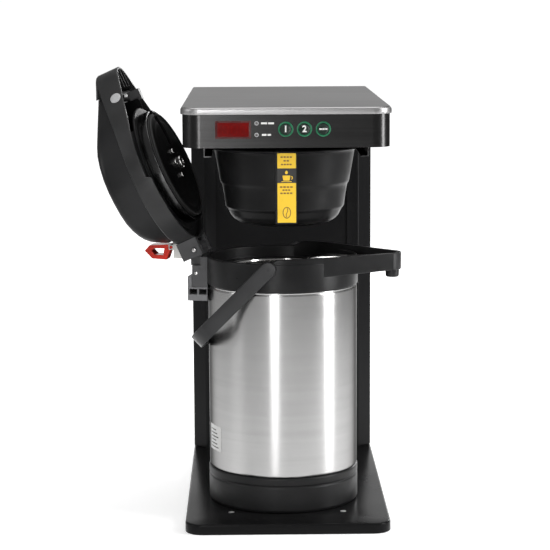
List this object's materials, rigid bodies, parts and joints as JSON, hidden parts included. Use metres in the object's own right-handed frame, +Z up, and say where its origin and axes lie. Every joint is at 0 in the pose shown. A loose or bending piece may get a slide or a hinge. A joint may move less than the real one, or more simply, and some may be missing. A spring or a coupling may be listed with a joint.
{
  "type": "airpot coffee brewer",
  "caption": "Tall drip coffee brewer with a flat tray, column and overhanging head, a sliding brew basket, and a pump airpot standing below with its lid open.",
  "frame": {"origin": "centre of the base tray's underside", "axes": "+Z up, -Y towards the user at the front, +X to the user's right"},
  "size_m": [0.3461, 0.48, 0.5082],
  "materials": {
    "black_sheet": "semi-gloss black enamel",
    "stainless": "brushed stainless steel",
    "fascia_metal": "dark brushed sheet",
    "black_plastic": "glossy black moulding",
    "grey_plastic": "dark grey moulding",
    "pale_plastic": "grey moulding",
    "red_lens": "dark red display lens",
    "green_plastic": "green ring",
    "red_plastic": "red moulding",
    "board": "circuit board",
    "rubber": "black seal",
    "brass": "plain brass",
    "white_plastic": "white moulding"
  },
  "bodies": {
    "brewer": {"base_tray": "black_sheet", "base_bottom_plate": "black_sheet", "column_shell": "black_sheet", "column_front_panel": "black_sheet", "head_pan": "black_sheet", "basket_rail_left": "black_sheet", "basket_rail_right": "black_sheet", "base_screw_1": "stainless", "base_screw_2": "stainless", "top_cover": "stainless", "water_tank": "stainless", "tank_lid": "stainless", "spray_head": "stainless", "fascia": "fascia_metal", "display_module": "black_plastic", "inlet_valve": "black_plastic", "power_relay": "black_plastic", "cord_gland": "black_plastic", "display_window": "red_lens", "button_ring_1": "green_plastic", "button_ring_2": "green_plastic", "button_ring_3": "green_plastic", "control_board": "board", "heating_element": "brass", "temperature_probe": "brass", "inlet_fitting": "brass", "brewing_lamp": "white_plastic", "ready_lamp": "white_plastic", "brew_tube": "white_plastic", "inlet_tube": "white_plastic"},
    "airpot": {"airpot_base_ring": "black_plastic", "airpot_body": "stainless", "airpot_liner": "stainless", "airpot_collar": "black_plastic", "spout_nozzle": "black_plastic", "neck_ring": "stainless", "dip_tube": "pale_plastic", "spout_pipe": "stainless", "hinge_lug": "grey_plastic", "hinge_pin": "stainless", "clasp_frame": "pale_plastic", "bail_stud_front": "black_plastic", "bail_stud_back": "black_plastic"},
    "lid": {"lid_shell": "black_plastic", "lid_hinge_block": "grey_plastic", "lid_plate": "pale_plastic", "stopper": "black_plastic", "stopper_seal": "rubber", "bellows": "black_plastic", "lever_pin": "pale_plastic", "catch_hook": "grey_plastic", "lock_bracket": "white_plastic"},
    "lever": {"pump_lever": "black_plastic"},
    "lock": {"lever_lock": "red_plastic"},
    "bail": {"bail_handle": "grey_plastic"},
    "basket": {"brew_basket": "black_plastic", "basket_handle": "black_plastic"},
    "button_1": {"brew_button_1": "black_plastic"},
    "button_2": {"brew_button_2": "black_plastic"},
    "button_stop": {"stop_button": "black_plastic"}
  },
  "joints": [
    {"name": "airpot_slide", "type": "slide", "parent": "brewer", "child": "airpot", "axis": [0, -1, 0], "range_m": [0, 0.3]},
    {"name": "basket_slide", "type": "slide", "parent": "brewer", "child": "basket", "axis": [0, -1, 0], "range_m": [0, 0.215]},
    {"name": "lid_hinge", "type": "hinge", "parent": "airpot", "child": "lid", "pos_m": [-0.0992, -0.0903, 0.301], "axis": [0.1908, 0.9816, 0], "range_deg": [0, 3]},
    {"name": "pump_lever_hinge", "type": "hinge", "parent": "lid", "child": "lever", "pos_m": [-0.18343, -0.07393, 0.47406], "axis": [-0.1908, -0.9816, 0], "range_deg": [0, 3.5], "stiffness_Nm_per_rad": 0.6, "springref_deg": -17.19, "deforming": ["bellows"]},
    {"name": "lock_hinge", "type": "hinge", "parent": "lid", "child": "lock", "pos_m": [-0.12865, -0.08458, 0.302], "axis": [-0.1908, -0.9816, 0], "range_deg": [0, 15]},
    {"name": "bail_hinge", "type": "hinge", "parent": "airpot", "child": "bail", "pos_m": [-0.003, -0.109, 0.289], "axis": [0.1908, 0.9816, 0], "range_deg": [0, 36]},
    {"name": "button_1_press", "type": "slide", "parent": "brewer", "child": "button_1", "axis": [0, 1, 0], "range_m": [0, 0.0012], "stiffness_N_per_m": 300, "springref_m": -0.002},
    {"name": "button_2_press", "type": "slide", "parent": "brewer", "child": "button_2", "axis": [0, 1, 0], "range_m": [0, 0.0012], "stiffness_N_per_m": 300, "springref_m": -0.002},
    {"name": "button_stop_press", "type": "slide", "parent": "brewer", "child": "button_stop", "axis": [0, 1, 0], "range_m": [0, 0.0012], "stiffness_N_per_m": 300, "springref_m": -0.002}
  ]
}
